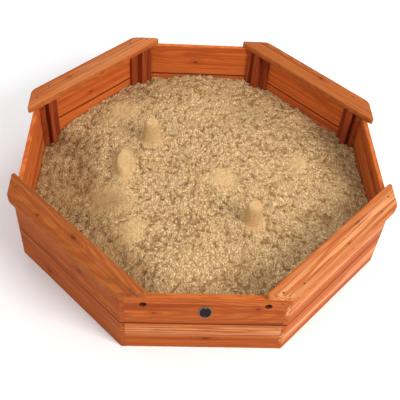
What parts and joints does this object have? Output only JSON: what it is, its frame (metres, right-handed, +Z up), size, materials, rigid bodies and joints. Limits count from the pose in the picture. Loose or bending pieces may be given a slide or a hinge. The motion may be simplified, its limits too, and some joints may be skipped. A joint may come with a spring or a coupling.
{
  "type": "sandpit",
  "caption": "Octagonal wooden sandpit with low board walls, seat boards across the corners and sand inside.",
  "frame": {"origin": "on the ground under the middle of the pit", "axes": "+Z up, -Y out of the front wall, which carries the badge and the rope holes, +X to its right"},
  "size_m": [1.44, 1.408, 0.348],
  "materials": {
    "stained_wall_wood": "satin stained softwood",
    "stained_seat_wood": "satin stained softwood",
    "stained_frame_wood": "satin stained softwood",
    "woven_sheet": "matt woven tape",
    "sand": "damp loose sand",
    "badge_plate": "matt moulded",
    "pin_metal": "dull",
    "screw_steel": "dull bronze coating"
  },
  "bodies": {
    "root": {"wall_front_lower": "stained_wall_wood", "wall_front_upper": "stained_wall_wood", "wall_front_right_lower": "stained_wall_wood", "wall_front_right_upper": "stained_wall_wood", "wall_right_lower": "stained_wall_wood", "wall_right_upper": "stained_wall_wood", "wall_back_right_lower": "stained_wall_wood", "wall_back_right_upper": "stained_wall_wood", "wall_back_lower": "stained_wall_wood", "wall_back_upper": "stained_wall_wood", "wall_back_left_lower": "stained_wall_wood", "wall_back_left_upper": "stained_wall_wood", "wall_left_lower": "stained_wall_wood", "wall_left_upper": "stained_wall_wood", "wall_front_left_lower": "stained_wall_wood", "wall_front_left_upper": "stained_wall_wood", "batten_front_near": "stained_frame_wood", "batten_front_far": "stained_frame_wood", "batten_front_right_near": "stained_frame_wood", "batten_front_right_far": "stained_frame_wood", "batten_right_near": "stained_frame_wood", "batten_right_far": "stained_frame_wood", "batten_back_right_near": "stained_frame_wood", "batten_back_right_far": "stained_frame_wood", "batten_back_near": "stained_frame_wood", "batten_back_far": "stained_frame_wood", "batten_back_left_near": "stained_frame_wood", "batten_back_left_far": "stained_frame_wood", "batten_left_near": "stained_frame_wood", "batten_left_far": "stained_frame_wood", "batten_front_left_near": "stained_frame_wood", "batten_front_left_far": "stained_frame_wood", "seat_support_front_right_near": "stained_frame_wood", "seat_support_front_right_far": "stained_frame_wood", "seat_front_right": "stained_seat_wood", "seat_support_back_right_near": "stained_frame_wood", "seat_support_back_right_far": "stained_frame_wood", "seat_back_right": "stained_seat_wood", "seat_support_back_left_near": "stained_frame_wood", "seat_support_back_left_far": "stained_frame_wood", "seat_back_left": "stained_seat_wood", "seat_support_front_left_near": "stained_frame_wood", "seat_support_front_left_far": "stained_frame_wood", "seat_front_left": "stained_seat_wood", "ground_sheet": "woven_sheet", "sand_fill": "sand", "badge": "badge_plate", "badge_pins": "pin_metal", "wall_screws": "screw_steel", "seat_screws": "screw_steel"}
  },
  "joints": []
}
